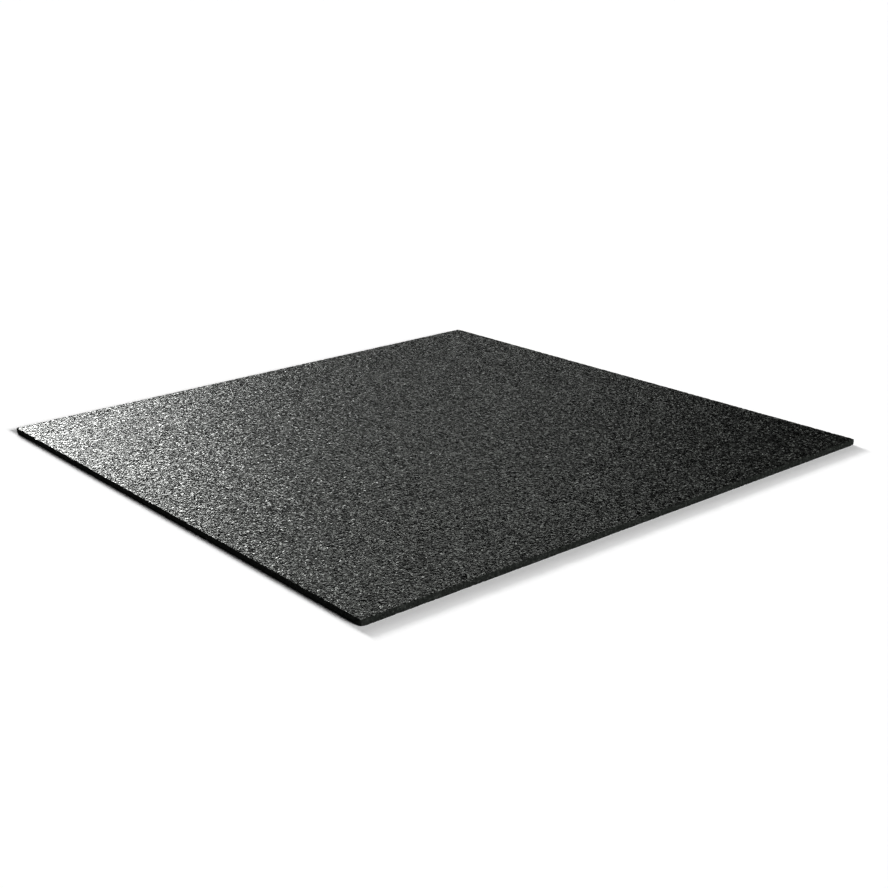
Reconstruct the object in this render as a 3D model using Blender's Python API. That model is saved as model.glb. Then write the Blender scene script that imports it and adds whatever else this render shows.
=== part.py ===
"""Floor protection tile: one square slab of bonded rubber granulate.

The real tile is a single piece. Rubber crumb and binder are pressed into a
sheet, and the sheet is cut square. It lies flat, with its underside at z = 0
and the middle of that underside at the origin. +X and +Y run along two of
its sides, and all sizes are in metres.

The slab is a stack of rounded squares joined one to the next, from the
underside up to the walking face, and closed by a flat face at each end:

  - the cut edges are slightly rounded all round, at the top and at the bottom
  - each upright corner is crisp at the walking face and rounder at its foot,
    where the corner tips are worn away
"""
import math

import bmesh
import bpy

# Driving dimensions
SIDE = 1.000           # edge length of the square
THICKNESS = 0.010      # underside to walking face
ARRIS = 0.0010         # radius along the cut edges, top and bottom
CORNER_TOP = 0.0025    # corner radius, seen from above, at the walking face
CORNER_FOOT = 0.0100   # corner radius, seen from above, at the underside
FOOT_HEIGHT = 0.0032   # height over which the corner foot tapers out

# Fineness of the rounded stretches
CORNER_STEPS = 8
ARRIS_STEPS = 4
FOOT_STEPS = 5

SMOOTH_BELOW = math.radians(35)   # faces that meet at less than this shade as one
RUBBER_COLOUR = (0.055, 0.058, 0.055, 1.0)
RUBBER_ROUGHNESS = 0.75


def clear_scene():
    """Remove whatever objects the open file holds."""
    for thing in list(bpy.data.objects):
        bpy.data.objects.remove(thing, do_unlink=True)


def edge_inset(height):
    """How far the side stands in from its full width at this height.

    Within one arris radius of the top or the bottom the side follows a
    quarter circle, and between them it is upright.
    """
    from_face = min(height, THICKNESS - height)
    if from_face >= ARRIS:
        return 0.0
    rise = ARRIS - from_face
    return ARRIS - math.sqrt(ARRIS ** 2 - rise ** 2)


def corner_radius(height):
    """Corner radius at this height: a quarter ellipse from foot to wall."""
    if height >= FOOT_HEIGHT:
        return CORNER_TOP
    drop = (FOOT_HEIGHT - height) / FOOT_HEIGHT
    return CORNER_TOP + (CORNER_FOOT - CORNER_TOP) * (1.0 - math.sqrt(1.0 - drop ** 2))


def ring_heights():
    """The heights of the stacked outlines, lowest first."""
    quarter = [ARRIS * (1.0 - math.cos(0.5 * math.pi * step / ARRIS_STEPS)) for step in range(ARRIS_STEPS + 1)]
    foot_rise = FOOT_HEIGHT - ARRIS
    foot = [ARRIS + foot_rise * step / FOOT_STEPS for step in range(1, FOOT_STEPS + 1)]
    top = [THICKNESS - height for height in reversed(quarter)]
    return quarter + foot + top


def rounded_square(height):
    """The outline at one height, counter-clockwise seen from above."""
    radius = corner_radius(height)
    centre = 0.5 * SIDE - edge_inset(height) - radius
    points = []
    for corner in range(4):
        turn = 0.5 * math.pi * corner
        middle = turn + 0.25 * math.pi
        middle_x = centre * math.sqrt(2.0) * math.cos(middle)
        middle_y = centre * math.sqrt(2.0) * math.sin(middle)
        for step in range(CORNER_STEPS + 1):
            angle = turn + 0.5 * math.pi * step / CORNER_STEPS
            points.append((middle_x + radius * math.cos(angle), middle_y + radius * math.sin(angle), height))
    return points


def rubber_material():
    """Bonded rubber granulate: near black, slightly green, mostly matt."""
    material = bpy.data.materials.new("rubber_granulate")
    material.use_nodes = True
    shader = material.node_tree.nodes["Principled BSDF"]
    shader.inputs["Base Color"].default_value = RUBBER_COLOUR
    shader.inputs["Roughness"].default_value = RUBBER_ROUGHNESS
    shader.inputs["Metallic"].default_value = 0.0
    material.diffuse_color = RUBBER_COLOUR
    return material


def make_tile():
    """Join the outlines into one closed slab and give it its material."""
    shape = bmesh.new()
    rings = [[shape.verts.new(point) for point in rounded_square(height)] for height in ring_heights()]
    count = len(rings[0])
    for lower, upper in zip(rings, rings[1:]):
        for near in range(count):
            far = (near + 1) % count
            shape.faces.new((lower[near], lower[far], upper[far], upper[near]))
    shape.faces.new(list(reversed(rings[0])))
    shape.faces.new(rings[-1])

    mesh = bpy.data.meshes.new("rubber_tile")
    shape.to_mesh(mesh)
    shape.free()
    mesh.shade_smooth()
    mesh.set_sharp_from_angle(angle=SMOOTH_BELOW)
    mesh.materials.append(rubber_material())
    tile = bpy.data.objects.new("rubber_tile", mesh)
    bpy.context.scene.collection.objects.link(tile)
    return tile


clear_scene()
make_tile()
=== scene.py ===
# %% [markdown]
# # A floor protection tile of bonded rubber granulate
#
# The real tile is one pressed sheet. Rubber crumb, a few millimetres across,
# is mixed with a clear binder, pressed flat and cut square. Nothing is printed
# on it and nothing is fitted to it, so all that the eye finds is the crumb:
# flattened grains side by side, dark pits between them, and clean cut edges.
#
# A flat box with a bump texture would look right only from above. Here the
# crumbs are real shapes instead, so that they catch the light, cast small
# shadows and break up the edges from every side. The lesson builds a closed
# skin first, then seats about 134,000 crumbs in it, and finishes with the
# rubber, the floor, the lights and the camera.

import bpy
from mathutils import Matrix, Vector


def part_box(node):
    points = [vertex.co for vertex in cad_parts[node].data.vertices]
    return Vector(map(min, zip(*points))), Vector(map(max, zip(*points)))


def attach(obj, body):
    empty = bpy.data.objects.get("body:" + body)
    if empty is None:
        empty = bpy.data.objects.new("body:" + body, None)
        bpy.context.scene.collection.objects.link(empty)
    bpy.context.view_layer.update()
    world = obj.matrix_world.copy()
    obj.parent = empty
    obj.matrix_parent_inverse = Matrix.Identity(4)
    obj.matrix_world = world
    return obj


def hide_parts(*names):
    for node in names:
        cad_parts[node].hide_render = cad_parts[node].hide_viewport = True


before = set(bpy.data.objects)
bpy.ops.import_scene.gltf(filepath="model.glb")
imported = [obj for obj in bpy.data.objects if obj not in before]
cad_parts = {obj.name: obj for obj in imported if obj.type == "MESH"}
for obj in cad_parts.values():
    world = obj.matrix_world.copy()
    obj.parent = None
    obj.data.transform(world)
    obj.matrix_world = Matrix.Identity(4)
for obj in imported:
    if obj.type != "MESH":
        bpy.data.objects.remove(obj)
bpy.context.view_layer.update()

import math

import bpy
import numpy as np
from mathutils import Matrix, Vector

MM = 0.001
NODE = "rubber_tile"
BODY = "root"

low, high = (np.array(corner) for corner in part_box(NODE))
HALF = 0.5 * (high[0] - low[0])
THICKNESS = high[2] - low[2]
print(f"tile {2 * HALF / MM:.0f} mm square and {THICKNESS / MM:.1f} mm thick")

# %% [markdown]
# ## The cut outline
#
# On the real tile every grain at the border ends where the knife went. So the
# outline is kept apart from the grains, as a rule that takes any points and
# brings back those that lie outside it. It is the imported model's own outline:
# a square with crisp corners on top, corner tips that are worn round at the
# foot, and a slight rounding along the upper and lower edges. A Boolean cut
# would do the same, but it is slow on so many grains and can leave slivers.

# %% The outline's radii at each height
ARRIS = 1.0 * MM
CORNER_TOP = 2.5 * MM
CORNER_FOOT = 10.0 * MM
FOOT_HEIGHT = 3.2 * MM


def edge_inset(height):
    """How far the side stands in at each height.

    A quarter circle at the top and the bottom, radius - sqrt(radius^2 - rise^2),
    where rise is how far the height is past the arris, and nothing between."""
    from_face = np.clip(np.minimum(height, THICKNESS - height), 0.0, ARRIS)
    rise = ARRIS - from_face
    return ARRIS - np.sqrt(ARRIS ** 2 - rise ** 2)


def corner_radius(height):
    """Corner radius seen from above: a quarter ellipse from the foot to the wall."""
    drop = np.clip((FOOT_HEIGHT - height) / FOOT_HEIGHT, 0.0, 1.0)
    return CORNER_TOP + (CORNER_FOOT - CORNER_TOP) * (1.0 - np.sqrt(1.0 - drop ** 2))


foot_radius = corner_radius(0.0)
print(f"corner radius {foot_radius / MM:.1f} mm at the foot and {CORNER_TOP / MM:.1f} mm on top")

# %% Bring points inside the cut outline
NO_DISTANCE = 1e-9


def trimmed(points, inset=0.0):
    """Points outside a rounded square, pulled onto it.

    x and y are cut off at the reach of the side. Beyond the centre of a
    corner's arc, the way from that centre is scaled back to the radius."""
    height = np.clip(points[..., 2], 0.0, THICKNESS)
    reach = HALF - edge_inset(height) - inset
    radius = corner_radius(height)
    centre = reach - radius
    flat = np.clip(points[..., :2], -reach[..., None], reach[..., None])
    beyond = np.maximum(np.abs(flat) - centre[..., None], 0.0)
    distance = np.hypot(beyond[..., 0], beyond[..., 1])
    scale = np.where(distance > radius, radius / np.maximum(distance, NO_DISTANCE), 1.0)
    pull = np.sign(flat) * beyond * (scale[..., None] - 1.0)
    return np.concatenate([flat + pull, height[..., None]], axis=-1)


corner = trimmed(np.array([[HALF, HALF, THICKNESS / 2]]))[0]
print(f"a point on the square's tip comes in to {corner[0] / MM:.2f} mm from the middle")

# %% [markdown]
# ## Meshes from arrays
#
# A surface of a hundred thousand faces is slow to build one face at a time.
# Blender also takes whole arrays: the places of all points, and the corners of
# all faces. Two more arrays can ride along. One is a number for each point,
# which a material reads to give each crumb its own shade. The other is a UV
# map, which gives each crumb its own small square of a picture, for a program
# that wants the finish as an image.

# %% Put arrays into a mesh
SHADE = "grain_shade"


def new_piece(name, points, faces, shades=None, uv=None):
    """One object at the origin: (n, 3) places in metres and (f, k) face corners.

    shades has a number for each point, and uv a place for each point. Each face
    shades flat, as a torn or a cut one does."""
    mesh = bpy.data.meshes.new(name)
    mesh.vertices.add(len(points))
    mesh.vertices.foreach_set("co", points.astype(np.float32).ravel())
    mesh.loops.add(faces.size)
    mesh.loops.foreach_set("vertex_index", faces.astype(np.int32).ravel())
    mesh.polygons.add(len(faces))
    starts = np.arange(0, faces.size, faces.shape[1], dtype=np.int32)
    mesh.polygons.foreach_set("loop_start", starts)
    mesh.update(calc_edges=True)
    mesh.shade_flat()
    if shades is not None:
        layer = mesh.attributes.new(SHADE, "FLOAT", "POINT")
        layer.data.foreach_set("value", shades.astype(np.float32))
    if uv is not None:
        layer = mesh.uv_layers.new(name="OFBake")
        layer.uv.foreach_set("vector", uv[faces.ravel()].astype(np.float32).ravel())
    piece = bpy.data.objects.new(name, mesh)
    bpy.context.scene.collection.objects.link(piece)
    print(f"{name}: {len(faces) * (faces.shape[1] - 2)} triangles")
    return piece


print(f"a piece keeps the number of each point as {SHADE}")

# %% [markdown]
# ## The skin of the slab
#
# Under the crumbs that show, the real tile goes on as more crumb and binder.
# Nobody sees that far in, so a closed skin stands for it: a grid of points for
# the upper side, rings of points down the cut wall, and a grid for the
# underside. Each point is pushed in by a random depth, so the pits between the
# crumbs end on a rough bed, and the underside is rough too. The upper bed lies
# just under the tops of the deepest crumbs. The skin shades smooth, because its
# faces are wide and would show as flats.

# %% Random depths and the rim of a grid
ACROSS = 150
WALL_ROWS = 6
BED_DEPTH = 1.3 * MM
BED_ROUGHNESS = 0.6 * MM
UNDERSIDE_ROUGHNESS = 0.5 * MM
UPPER_RIM = THICKNESS - 0.9 * MM
LOWER_RIM = 0.35 * MM
WALL_TOP = THICKNESS - 1.6 * MM
WALL_FOOT = 1.0 * MM
WALL_INSET = 0.5 * MM
WALL_ROUGHNESS = 0.6 * MM
SKIN_SEED = 11
skin_random = np.random.default_rng(SKIN_SEED)


def ragged(count, depth):
    """Random depths from 0 to depth, as depth * random^2, so most are shallow."""
    return depth * skin_random.random(count) ** 2


def grid_rim(count):
    """Indices round the rim of a (count + 1) by (count + 1) grid, one way round."""
    index = np.arange((count + 1) ** 2).reshape(count + 1, count + 1)
    return np.concatenate([index[:-1, 0], index[-1, :-1], index[:0:-1, -1], index[0, :0:-1]])


print(f"skin points lie {2 * HALF / ACROSS / MM:.1f} mm apart")

# %% The skin's points and faces
def skin_points():
    """An upper grid, rings of wall and a lower grid, each point at a random depth."""
    step = np.linspace(-HALF, HALF, ACROSS + 1)
    x, y = np.meshgrid(step, step, indexing="ij")
    upper = np.stack([x, y, np.full_like(x, THICKNESS)], -1).reshape(-1, 3)
    lower = upper * [1, 1, 0]
    rim = grid_rim(ACROSS)
    upper[:, 2] -= BED_DEPTH + ragged(len(upper), BED_ROUGHNESS)
    lower[:, 2] += ragged(len(lower), UNDERSIDE_ROUGHNESS)
    upper[rim, 2] = UPPER_RIM
    lower[rim, 2] = LOWER_RIM
    heights = np.linspace(WALL_TOP, WALL_FOOT, WALL_ROWS)
    wall = np.stack([upper[rim] * [1, 1, 0] + [0, 0, height] for height in heights])
    points = np.concatenate([upper, wall.reshape(-1, 3), lower])
    return trimmed(points, WALL_INSET + ragged(len(points), WALL_ROUGHNESS))


def skin_faces():
    """Squares of both grids, and strips between the rims that lie over each other."""
    count = (ACROSS + 1) ** 2
    grid = np.arange(count).reshape(ACROSS + 1, ACROSS + 1)
    squares = np.stack([grid[:-1, :-1], grid[1:, :-1], grid[1:, 1:], grid[:-1, 1:]], -1)
    squares = squares.reshape(-1, 4)
    rim = grid_rim(ACROSS)
    wall = [count + row * len(rim) + np.arange(len(rim)) for row in range(WALL_ROWS)]
    first_lower = count + WALL_ROWS * len(rim)
    rings = [rim, *wall, first_lower + rim]
    strips = [
        np.stack([upper, lower, np.roll(lower, -1), np.roll(upper, -1)], -1)
        for upper, lower in zip(rings, rings[1:])
    ]
    return np.concatenate([squares, *strips, squares[:, ::-1] + first_lower])


body = new_piece("granulate_body", skin_points(), skin_faces())
body.data.shade_smooth()

# %% [markdown]
# ## One crumb
#
# A crumb is a scrap that a mill has torn off, and the press has laid it flat.
# Of the finished tile one sees only its ragged top, and a little of its sides
# next to the gaps. A sphere would look like a bead and cost hundreds of
# triangles. Here a crumb is a top with four corners over a root that runs down
# to one point: five points, six triangles, closed all round. The root is lost
# among its neighbours. The points are listed here as seen from above, with the
# root's one below the middle.

# %% The shape of one crumb
CHIP = np.array([(-1, -1), (1, -1), (1, 1), (-1, 1), (0, 0)])
CHIP_FACES = np.array([(0, 1, 2), (0, 2, 3), (1, 0, 4), (2, 1, 4), (3, 2, 4), (0, 3, 4)])
print(f"a crumb has {len(CHIP)} points and {len(CHIP_FACES)} triangles")

# %% [markdown]
# ## Crumbs side by side
#
# Crumbs that are strewn at random lie on top of each other and leave bare
# spots. Pressed ones fill the face like paving, each with its own outline. So
# the start is a square grid whose crossings are moved about, which gives every
# crumb four neighbours and no two the same shape. Each crumb then shrinks away
# from its neighbours by its own amount, tips a little and sinks a little. All
# of this is one sum over the whole array, not a loop over crumbs.

# %% The paving and the crumbs in it
CROSSING_SHIFT = 0.40
OWN_SHIFT = 0.12
CEILING_SPREAD = 0.10 * MM


def paving(columns, rows, random):
    """Four corners for each crumb, on a grid whose cells are one unit wide.

    A crossing lies at its column and row + CROSSING_SHIFT * a random number from
    -1 to 1, and each corner that meets there adds OWN_SHIFT * one of its own."""
    steps = np.meshgrid(np.arange(columns + 1.0), np.arange(rows + 1.0), indexing="ij")
    crossings = np.stack(steps, -1)
    crossings += CROSSING_SHIFT * random.uniform(-1, 1, crossings.shape)
    corners = [crossings[:-1, :-1], crossings[1:, :-1], crossings[1:, 1:], crossings[:-1, 1:]]
    corners = np.stack(corners, 2).reshape(-1, 4, 2)
    return corners + OWN_SHIFT * random.uniform(-1, 1, corners.shape)


def crumbs_in(corners, lowest, tilt, root, gap, random):
    """Crumbs as (crumb, 5, 3), with the face of the tile at a height of 0.

    The top is level = tilt * distance from its middle - a random depth, cut off
    at the ceiling. The root lies straight below the middle. gap is the largest
    share by which a crumb shrinks."""
    count = len(corners)
    middle = corners.mean(1, keepdims=True)
    arm = (corners - middle) * (1 - gap * random.random((count, 1, 1)))
    slope = tilt * random.standard_normal((count, 1, 2))
    level = (arm * slope).sum(-1) - lowest * random.random((count, 1))
    level = np.minimum(level, -CEILING_SPREAD * random.random((count, 1)))
    top = np.concatenate([middle + arm, level[..., None]], -1)
    foot = np.concatenate([middle, level.mean(1).reshape(-1, 1, 1) - root], -1)
    return np.concatenate([top, foot], 1)


print(f"a corner moves by up to {CROSSING_SHIFT + OWN_SHIFT:.2f} of a cell each way")

# %% One mesh out of all the crumbs
CELL_SHARE = 0.4


def crumb_piece(name, points, random):
    """A piece from (crumb, 5, 3) points: one shade and one UV square for each crumb.

    Crumb n gets square n of a grid. Its corners lie CELL_SHARE of the square's
    width from the square's middle, across and up, and its root in the middle."""
    count, corners = points.shape[:2]
    shades = np.repeat(random.random(count), corners)
    across = math.ceil(math.sqrt(count))
    square = np.stack([np.arange(count) % across, np.arange(count) // across], -1)
    uv = (square[:, None] + 0.5 + CELL_SHARE * CHIP) / across
    faces = CHIP_FACES + corners * np.arange(count)[:, None, None]
    return new_piece(name, points.reshape(-1, 3), faces.reshape(-1, 3), shades, uv.reshape(-1, 2))


print(f"a crumb takes {2 * CELL_SHARE:.0%} of the width of its square")

# %% [markdown]
# ## The walking face
#
# Rubber crumb is sold sieved, and the tile's grain is fine: 1 to 4 mm, mostly
# just under 3. The press has brought every crumb to within about a millimetre
# of the walking face, but not level. With light from so low, one that lies half
# a millimetre deep is already in its neighbour's shadow. That and the slight
# tilt of each top make the face look like pepper and salt. The crumbs are
# sorted by size into four sieve grades, so that no piece gets too large.

# %% Pave the face
FACE_CELLS = 358
FACE_LOWEST = 1.15 * MM
FACE_TILT = 0.085
FACE_ROOT = 2.0 * MM
FACE_GAP = 0.46
TRIM_SPREAD = 0.15 * MM
GRADES = ("finest_crumb", "fine_crumb", "medium_crumb", "coarse_crumb")
CRUMB_SEED = 1


def face_crumbs(random):
    """Crumbs over the whole face, sorted by size.

    The size is the cross product of the top's two diagonals, which is twice its
    area as seen from above. Each crumb at the border ends at its own distance
    inside the outline, from 0 to TRIM_SPREAD."""
    corners = paving(FACE_CELLS, FACE_CELLS, random) * 2 * HALF / FACE_CELLS - HALF
    points = crumbs_in(corners, FACE_LOWEST, FACE_TILT, FACE_ROOT, FACE_GAP, random)
    points += [0, 0, THICKNESS]
    one, other = points[:, 2] - points[:, 0], points[:, 3] - points[:, 1]
    order = np.argsort(np.abs(one[:, 0] * other[:, 1] - one[:, 1] * other[:, 0]))
    return trimmed(points[order], TRIM_SPREAD * random.random((len(points), 1)))


crumb_random = np.random.default_rng(CRUMB_SEED)
sieved = np.array_split(face_crumbs(crumb_random), len(GRADES))
crumbs = [crumb_piece(name, points, crumb_random) for name, points in zip(GRADES, sieved)]

# %% [markdown]
# ## The cut edges
#
# A knife goes straight through the crumbs, so the sides are flatter than the
# walking face: cut crumbs in one plane, with narrow gaps. The same paving
# serves again, stood upright. Each of four strips is laid out along the same
# side, and three of them are turned to theirs. The outline rule then rounds
# them to the tile.

# %% Pave the four sides
EDGE_COLUMNS = 360
EDGE_ROWS = 4
EDGE_LOWEST = 0.25 * MM
EDGE_TILT = 0.05
EDGE_ROOT = 1.6 * MM
EDGE_GAP = 0.16
EDGE_TOP = THICKNESS - 0.1 * MM
EDGE_FOOT = 0.05 * MM
SIDES = 4


def edge_crumbs(random):
    """Crumbs along all four sides.

    On the first side, run, height and out are y, z and x. Each further side is
    the same kind of strip, turned by 90 degrees more."""
    cell = np.array([2 * HALF / EDGE_COLUMNS, THICKNESS / EDGE_ROWS])
    sides = []
    for side in range(SIDES):
        corners = paving(EDGE_COLUMNS, EDGE_ROWS, random) * cell - [HALF, 0]
        strip = crumbs_in(corners, EDGE_LOWEST, EDGE_TILT, EDGE_ROOT, EDGE_GAP, random)
        run, height, out = np.moveaxis(strip, -1, 0)
        place = np.stack([HALF + out, run, np.clip(height, EDGE_FOOT, EDGE_TOP)], -1)
        turn = np.array(Matrix.Rotation(2 * math.pi * side / SIDES, 3, "Z"))
        sides.append(place @ turn.T)
    return trimmed(np.concatenate(sides))


edge = crumb_piece("cut_edge_crumb", edge_crumbs(crumb_random), crumb_random)

# %% [markdown]
# ## One tile out of the pieces
#
# The crumbs and the skin are one slab on the real tile. So every piece rides
# on the model's only body, and the plain solid that they stand in for is hidden.

# %% Put the pieces on the body and hide the solid
pieces = [body, *crumbs, edge]
for piece in pieces:
    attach(piece, BODY)
    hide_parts(NODE)
print(f"{len(pieces)} pieces stand for {NODE}")

# %% [markdown]
# ## The rubber
#
# The crumb is black tyre rubber, torn up by a mill, coated with a thin film of
# clear binder and pressed. The colour is a near black that varies from crumb to
# crumb, because fresh rubber, worn rubber and dusty rubber lie side by side.
# The binder gives the pressed face a dull shine with a slight green cast. It
# shows as a grey sheen where one looks across the tile towards a light. The
# torn faces are rough at a tenth of a millimetre, which breaks the shine up.
# The tears are drawn 0.8 mm wide, coarser than they are, so that a few of them
# show on each crumb.
#
# The knife opens fresh rubber. So the cut edges have no film of binder, are
# matt, and vary less from crumb to crumb. The bed down between the crumbs is
# taken as matt too.
#
# One material with a colour ramp does all this. The ramp is read with each
# crumb's own number, so a crumb has one shade all over, as it has in reality.
# Such binders have an index of refraction near 1.5. The shine is about half of
# what a full film would give, and the roughness goes by the width of the sheen.

# %% Colours and nodes
def linear(hex_colour):
    """An sRGB hex colour as linear numbers, with a full alpha at the end.

    c / 12.92 when c is dark, else ((c + 0.055) / 1.055)^2.4."""
    channels = [int(hex_colour[k:k + 2], 16) / 255 for k in (1, 3, 5)]
    linear_channels = [
        c / 12.92 if c <= 0.04045 else ((c + 0.055) / 1.055) ** 2.4
        for c in channels
    ]
    return linear_channels + [1.0]


def add_node(tree, kind, inputs=None, **settings):
    """One node with its settings and its inputs, where each input is a value or a socket."""
    node = tree.nodes.new(kind)
    for name, value in settings.items():
        setattr(node, name, value)
    for name, value in (inputs or {}).items():
        if isinstance(value, bpy.types.NodeSocket):
            tree.links.new(value, node.inputs[name])
        else:
            node.inputs[name].default_value = value
    return node


print(f"the middle grey #808080 is {linear('#808080')[0]:.3f} in linear light")

# %% Bonded rubber granulate
PRESSED_SHADES = ("#060706", "#101110", "#6a6d69")
CUT_SHADES = ("#1e201e", "#282a28", "#343634")
COMMON_UP_TO = 0.75
BINDER_IOR = 1.52
BINDER_SHINE = 0.27
BINDER_TINT = (0.92, 1.0, 0.88, 1.0)
SMOOTHEST = 0.26
ROUGHEST = 0.38
TEAR_SIZE = 0.8 * MM
TEAR_DEPTH = 0.12 * MM
TEAR_DETAIL = 2.0
BED_GRAIN = 3.0 * MM


def bonded_rubber(name, shade_of, shades, shine):
    """Rubber whose colour and roughness follow one number, from the first shade to the last."""
    material = bpy.data.materials.new(name)
    material.use_nodes = True
    tree = material.node_tree
    shader = tree.nodes["Principled BSDF"]
    place = add_node(tree, "ShaderNodeTexCoord").outputs["Object"]
    shade = shade_of(tree, place)
    ramp = add_node(tree, "ShaderNodeValToRGB", {"Fac": shade})
    stops = ramp.color_ramp.elements
    stops[0].color = linear(shades[0])
    stops[1].color = linear(shades[2])
    stops.new(COMMON_UP_TO).color = linear(shades[1])
    tree.links.new(ramp.outputs["Color"], shader.inputs["Base Color"])
    limits = {"To Min": SMOOTHEST, "To Max": ROUGHEST}
    rough = add_node(tree, "ShaderNodeMapRange", {"Value": shade, **limits})
    tree.links.new(rough.outputs["Result"], shader.inputs["Roughness"])
    shader.inputs["IOR"].default_value = BINDER_IOR
    shader.inputs["Specular IOR Level"].default_value = shine
    shader.inputs["Specular Tint"].default_value = BINDER_TINT
    pattern = {"Vector": place, "Scale": 1 / TEAR_SIZE, "Detail": TEAR_DETAIL}
    tears = add_node(tree, "ShaderNodeTexNoise", pattern).outputs["Fac"]
    bump = add_node(tree, "ShaderNodeBump", {"Height": tears, "Distance": TEAR_DEPTH})
    tree.links.new(bump.outputs["Normal"], shader.inputs["Normal"])
    return material


print(f"tears {TEAR_SIZE / MM:.1f} mm wide and {TEAR_DEPTH / MM:.2f} mm deep")

# %% [markdown]
# The skin has no crumbs of its own, so its number comes from a Voronoi pattern
# with cells as wide as a crumb. Each cell has one random colour, and one of
# its channels is the number.

# %% The shade of a crumb and of the bed
def crumb_shade(tree, place):
    """Each crumb's own number, kept on its points."""
    return add_node(tree, "ShaderNodeAttribute", attribute_name=SHADE).outputs["Fac"]


def bed_shade(tree, place):
    """A random number for each crumb-sized cell of the bed."""
    cells = add_node(tree, "ShaderNodeTexVoronoi", {"Vector": place, "Scale": 1 / BED_GRAIN})
    split = add_node(tree, "ShaderNodeSeparateColor", {"Color": cells.outputs["Color"]})
    return split.outputs["Red"]


print(f"the bed's cells are {BED_GRAIN / MM:.0f} mm wide")

# %% Give each piece its rubber
MATT = 0.0

bed_rubber = bonded_rubber("rubber_granulate_bed", bed_shade, PRESSED_SHADES, MATT)
cut_rubber = bonded_rubber("cut_rubber_granulate", crumb_shade, CUT_SHADES, MATT)
pressed_rubber = bonded_rubber(
    "pressed_rubber_granulate", crumb_shade, PRESSED_SHADES, BINDER_SHINE
)
body.data.materials.append(bed_rubber)
edge.data.materials.append(cut_rubber)
for piece in crumbs:
    piece.data.materials.append(pressed_rubber)
print(f"crumbs from {PRESSED_SHADES[0]} to {PRESSED_SHADES[2]}")

# %% [markdown]
# ## The floor
#
# A pale, matt studio floor, large enough to reach the horizon in every view.
# It isn't part of the tile, so it is marked as stage.

# %% Lay the floor
FLOOR_REACH = 200.0
FLOOR_GREY = 0.92


def lay_floor():
    """One square in the plane z = 0, matt and without any shine."""
    reach = FLOOR_REACH
    corners = [(-reach, -reach, 0), (reach, -reach, 0), (reach, reach, 0), (-reach, reach, 0)]
    mesh = bpy.data.meshes.new("studio_floor")
    mesh.from_pydata(corners, [], [(0, 1, 2, 3)])
    material = bpy.data.materials.new("matt_white_paint")
    material.use_nodes = True
    shader = material.node_tree.nodes["Principled BSDF"]
    shader.inputs["Base Color"].default_value = (FLOOR_GREY, FLOOR_GREY, FLOOR_GREY, 1.0)
    shader.inputs["Roughness"].default_value = 1.0
    shader.inputs["Specular IOR Level"].default_value = MATT
    mesh.materials.append(material)
    floor = bpy.data.objects.new("studio_floor", mesh)
    bpy.context.scene.collection.objects.link(floor)


lay_floor()
print(f"floor {2 * FLOOR_REACH:.0f} m square")

# %% [markdown]
# ## The light
#
# The tile's shadow lies to its right, is nearly four times as long as the tile
# is thick, and has a soft edge. So the key light is a softbox low on the left,
# 15 degrees up. It stands too far round to mirror itself much in the tile. The
# grey sheen on the left is mainly that of a second softbox, nearer to the back,
# and two weaker, higher ones give the middle of the tile its faint sheen. Most
# of the floor's light comes from a fill, low on the right. It lights the cut
# edge on that side, and its own shadow falls behind the tile, nearly out of
# sight. A sun lamp with a wide angle stands for each, because its light falls
# alike on the whole tile.

# %% Softboxes far away
def direction(azimuth, elevation):
    """A unit vector, with the azimuth in degrees from +X towards +Y seen from above."""
    a, e = math.radians(azimuth), math.radians(elevation)
    return Vector((math.cos(e) * math.cos(a), math.cos(e) * math.sin(a), math.sin(e)))


def softbox(name, azimuth, elevation, width, share):
    """A far light of some angular width, which gives the floor this share of white.

    A sun of strength E at an elevation e lights a floor of grey g to
    E * g * sin(e) / pi, so E follows from the share."""
    light = bpy.data.lights.new(name, "SUN")
    light.angle = math.radians(width)
    light.energy = share * math.pi / FLOOR_GREY / math.sin(math.radians(elevation))
    lamp = bpy.data.objects.new(name, light)
    lamp.rotation_mode = "QUATERNION"
    lamp.rotation_quaternion = direction(azimuth, elevation).to_track_quat("Z", "Y")
    bpy.context.scene.collection.objects.link(lamp)
    print(f"{name}: {100 * share:.0f} % of the floor's light")


print(f"at an elevation of 90 degrees z is {direction(0, 90).z:.1f}")

# %% Place the five lights
# Azimuth, elevation and width in degrees, then the share of the floor's light.
SOFTBOXES = {
    "key_softbox": (168, 15.2, 8, 0.28),
    "shoulder_softbox": (158.5, 21, 12, 0.092),
    "high_softbox": (156, 31, 12, 0.04),
    "back_softbox": (139, 30, 16, 0.044),
    "front_fill": (7, 19, 15, 0.545),
}

for name, values in SOFTBOXES.items():
    softbox(name, *values)
key_elevation = math.radians(SOFTBOXES["key_softbox"][1])
print(f"the tile's shadow is {THICKNESS / math.tan(key_elevation) / MM:.0f} mm long")

# %% [markdown]
# A weak dome, a little brighter overhead than near the horizon, keeps the pits
# from pure black. A bright horizon would mirror itself in the rubber and turn
# it grey. Where the camera looks past the floor, it meets a plain white backdrop.

# %% The dome
DOME_LOW = 0.65
DOME_HIGH = 0.85
DOME_FLOOR = 0.01
DOME_CEILING = 0.03
BACKDROP = 1.0


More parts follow.
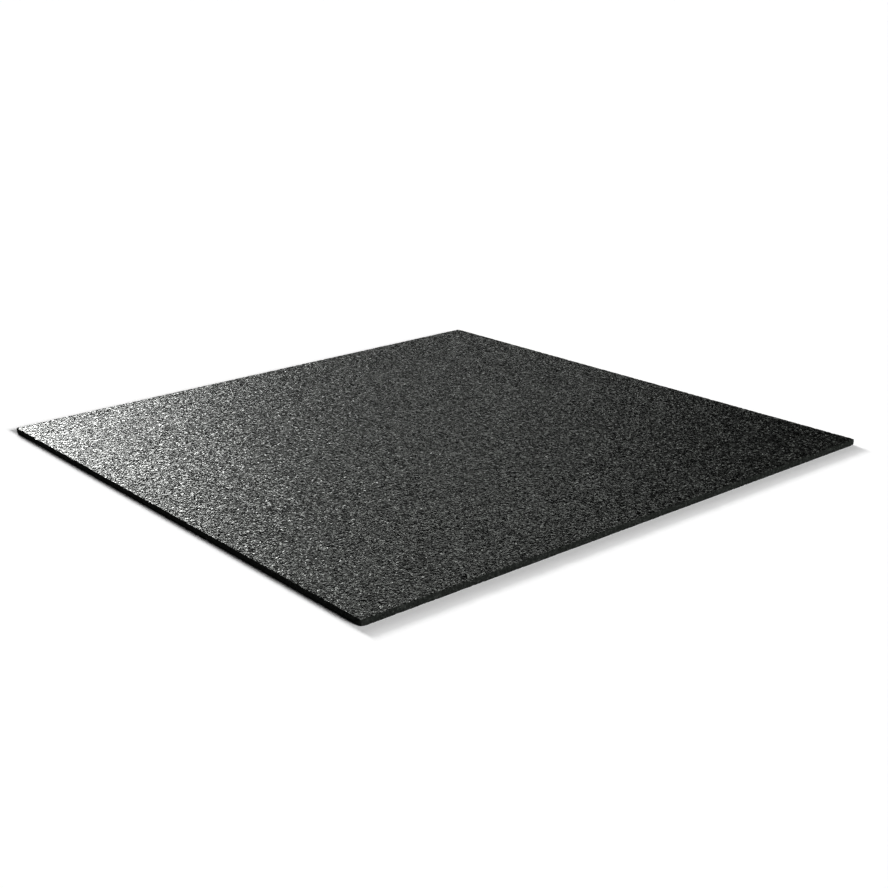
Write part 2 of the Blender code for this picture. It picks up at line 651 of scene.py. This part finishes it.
def light_dome():
    """Strength by the height of the direction, from -1 straight down to 1 straight up.

    It steps smoothly from dark to bright between two heights. Camera rays get
    the backdrop's strength on top."""
    world = bpy.data.worlds.new("studio_dome")
    bpy.context.scene.world = world
    world.use_nodes = True
    tree = world.node_tree
    place = add_node(tree, "ShaderNodeTexCoord").outputs["Generated"]
    height = add_node(tree, "ShaderNodeSeparateXYZ", {"Vector": place}).outputs["Z"]
    limits = {
        "From Min": DOME_LOW,
        "From Max": DOME_HIGH,
        "To Min": DOME_FLOOR,
        "To Max": DOME_CEILING,
    }
    step = add_node(
        tree,
        "ShaderNodeMapRange",
        {"Value": height, **limits},
        interpolation_type="SMOOTHSTEP",
    )
    seen = add_node(tree, "ShaderNodeLightPath").outputs["Is Camera Ray"]
    total = add_node(
        tree,
        "ShaderNodeMath",
        {0: seen, 1: BACKDROP, 2: step.outputs["Result"]},
        operation="MULTIPLY_ADD",
    )
    background = tree.nodes["Background"]
    background.inputs["Color"].default_value = (1.0, 1.0, 1.0, 1.0)
    tree.links.new(total.outputs["Value"], background.inputs["Strength"])


light_dome()
print(f"the dome's strength goes from {DOME_FLOOR} to {DOME_CEILING}")

# %% [markdown]
# ## The camera
#
# A square tile with four known corners is all that is needed to find where the
# photograph was taken from. Its focal length, direction and distance were
# fitted until the four upper corners fell where the photograph has them. The
# camera looks down at 19 degrees across one corner, with next to no tilt. The
# focal length is in pixels of the photograph, the sensor's width in millimetres
# and the distance in metres. The camera stands that far back from the tile's
# middle, and a little aside and down, which moves the tile in the picture.

# %% Set the camera
PHOTO_WIDTH = 888
SENSOR = 36.0
FOCAL_PIXELS = 1391.9
AZIMUTH = math.radians(50.64)
ELEVATION = math.radians(18.91)
ROLL = math.radians(-1.02)
DISTANCE = 2.3386
ASIDE = -0.0343
UP = 0.0086


def set_camera():
    """Back, right and up vectors from the angles, then the place along them."""
    flat = math.cos(ELEVATION)
    back = Vector((math.sin(AZIMUTH) * flat, -math.cos(AZIMUTH) * flat, math.sin(ELEVATION)))
    level = (-back).cross(Vector((0, 0, 1))).normalized()
    upward = level.cross(-back)
    right = math.cos(ROLL) * level + math.sin(ROLL) * upward
    top = math.cos(ROLL) * upward - math.sin(ROLL) * level
    data = bpy.data.cameras.new("photo_camera")
    data.sensor_width = SENSOR
    data.lens = FOCAL_PIXELS * SENSOR / PHOTO_WIDTH
    camera = bpy.data.objects.new("photo_camera", data)
    camera.rotation_mode = "QUATERNION"
    camera.rotation_quaternion = Matrix((right, top, back)).transposed().to_quaternion()
    camera.location = back * DISTANCE - right * ASIDE - top * UP
    bpy.context.scene.collection.objects.link(camera)
    bpy.context.scene.camera = camera
    print(f"lens {data.lens:.1f} mm, {camera.location.length:.2f} m from the tile's middle")


set_camera()

# %% [markdown]
# ## The print
#
# The photograph is printed hard: pure white ground and deep blacks. A gamma
# under 1 gives that contrast, and no filmic curve is laid over it.
#
# Seen from here a crumb in the middle of the tile is under two pixels wide and
# less than one high. The denoiser keeps the soft shadows clean, and it is guided
# by pictures of colour and direction. They go in as they are: smoothing them
# first would smooth the crumbs as well.

# %% Contrast
GAMMA = 0.8
bpy.context.scene.view_settings.view_transform = "Standard"
bpy.context.scene.view_settings.gamma = GAMMA
bpy.context.scene.cycles.use_denoising = True
bpy.context.scene.cycles.denoising_prefilter = "NONE"
print(f"gamma {GAMMA}")
